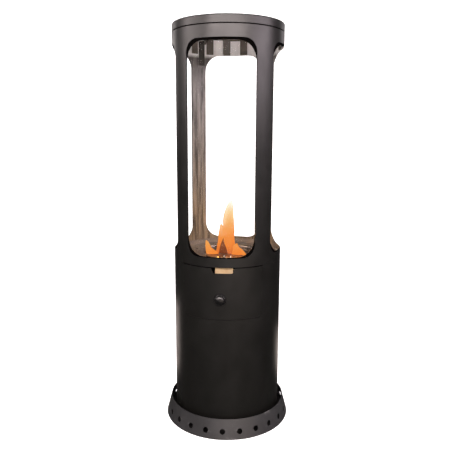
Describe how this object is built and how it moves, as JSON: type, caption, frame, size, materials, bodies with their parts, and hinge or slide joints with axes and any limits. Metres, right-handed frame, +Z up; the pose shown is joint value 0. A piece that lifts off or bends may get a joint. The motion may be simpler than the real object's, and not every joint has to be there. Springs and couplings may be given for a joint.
{
  "type": "outdoor heater",
  "caption": "Cylindrical flame-tube gas patio heater with glazed windows, flat lid, tilting control door, push-turn knob, rear bottle door and flared base.",
  "frame": {"origin": "on the floor under the centre of the round base", "axes": "+Z up the body's axis, -Y towards the front with the control door and knob, +X to the right of someone facing the front"},
  "size_m": [0.475, 0.475, 1.4689],
  "materials": {
    "dark_coat": "matte textured anthracite powder coat",
    "skirt_coat": "satin anthracite powder coat",
    "black_heatproof": "matt heat-resistant black",
    "stainless": "brushed, heat-tinted near the flame",
    "zinc_steel": "bright zinc plate",
    "yellow_zinc": "yellow passivated zinc plate",
    "brass": "turned brass",
    "valve_alloy": "die-cast alloy",
    "gas_tube": "drawn tube",
    "glide_rubber": "moulded rubber",
    "knob_plastic": "glossy black",
    "black_plastic": "fine grained black",
    "lead_sleeve": "silicone sleeve",
    "ceramic_white": "unglazed alumina",
    "fibre_rope": "woven glass-fibre gasket",
    "clear_glass": "clear borosilicate"
  },
  "bodies": {
    "root": {"baffle_comb": "black_heatproof", "base_plate": "dark_coat", "base_skirt": "skirt_coat", "bottle_door_catch": "black_plastic", "burner_bowl": "stainless", "burner_deck": "black_heatproof", "burner_head": "stainless", "coupling_ring": "zinc_steel", "door_catch_left": "black_plastic", "door_catch_right": "black_plastic", "foot_1": "glide_rubber", "foot_2": "glide_rubber", "foot_3": "glide_rubber", "foot_4": "glide_rubber", "foot_ring": "zinc_steel", "gas_injector": "brass", "gas_pipe": "gas_tube", "gas_valve": "valve_alloy", "glass_gasket": "fibre_rope", "glass_seat_ring": "black_heatproof", "glass_tube": "clear_glass", "heat_shield": "stainless", "hinge_pin_lower": "stainless", "hinge_pin_upper": "stainless", "hinge_shell_leaf_lower": "zinc_steel", "hinge_shell_leaf_upper": "zinc_steel", "hose_nozzle": "brass", "ignition_electrode": "ceramic_white", "ignition_lead": "lead_sleeve", "lid": "dark_coat", "lid_bracket_1": "black_heatproof", "lid_bracket_2": "black_heatproof", "lid_bracket_3": "black_heatproof", "lid_bracket_4": "black_heatproof", "lid_screw_1": "stainless", "lid_screw_2": "stainless", "lid_screw_3": "stainless", "lid_screw_4": "stainless", "lid_spacer_1": "zinc_steel", "lid_spacer_2": "zinc_steel", "lid_spacer_3": "zinc_steel", "lid_spacer_4": "zinc_steel", "lower_shell": "dark_coat", "mixing_tube": "stainless", "pilot_burner": "brass", "pilot_pipe": "gas_tube", "thermocouple": "stainless", "thermocouple_line": "brass", "tilt_switch": "black_plastic", "valve_bracket": "yellow_zinc", "window_frame": "dark_coat", "window_liner": "black_heatproof"},
    "control_door": {"control_door": "dark_coat"},
    "bottle_door": {"bottle_door": "dark_coat", "bottle_door_pull": "knob_plastic", "hinge_door_leaf_lower": "zinc_steel", "hinge_door_leaf_upper": "zinc_steel"},
    "plunger": {"thrust_washer": "zinc_steel"},
    "knob": {"knob": "knob_plastic", "valve_spindle": "brass"}
  },
  "joints": [
    {"name": "control_door_tilt", "type": "hinge", "parent": "root", "child": "control_door", "pos_m": [0, -0.199, 0.44], "axis": [1, 0, 0], "range_deg": [0, 40]},
    {"name": "bottle_door_swing", "type": "hinge", "parent": "root", "child": "bottle_door", "pos_m": [0.15811, 0.1308, 0.35], "axis": [0, 0, -1], "range_deg": [0, 110]},
    {"name": "knob_push", "type": "slide", "parent": "root", "child": "plunger", "axis": [0, 1, 0], "range_m": [0, 0.005], "stiffness_N_per_m": 1500},
    {"name": "knob_turn", "type": "hinge", "parent": "plunger", "child": "knob", "pos_m": [0, -0.203, 0.515], "axis": [0, -1, 0], "range_deg": [0, 180]}
  ]
}
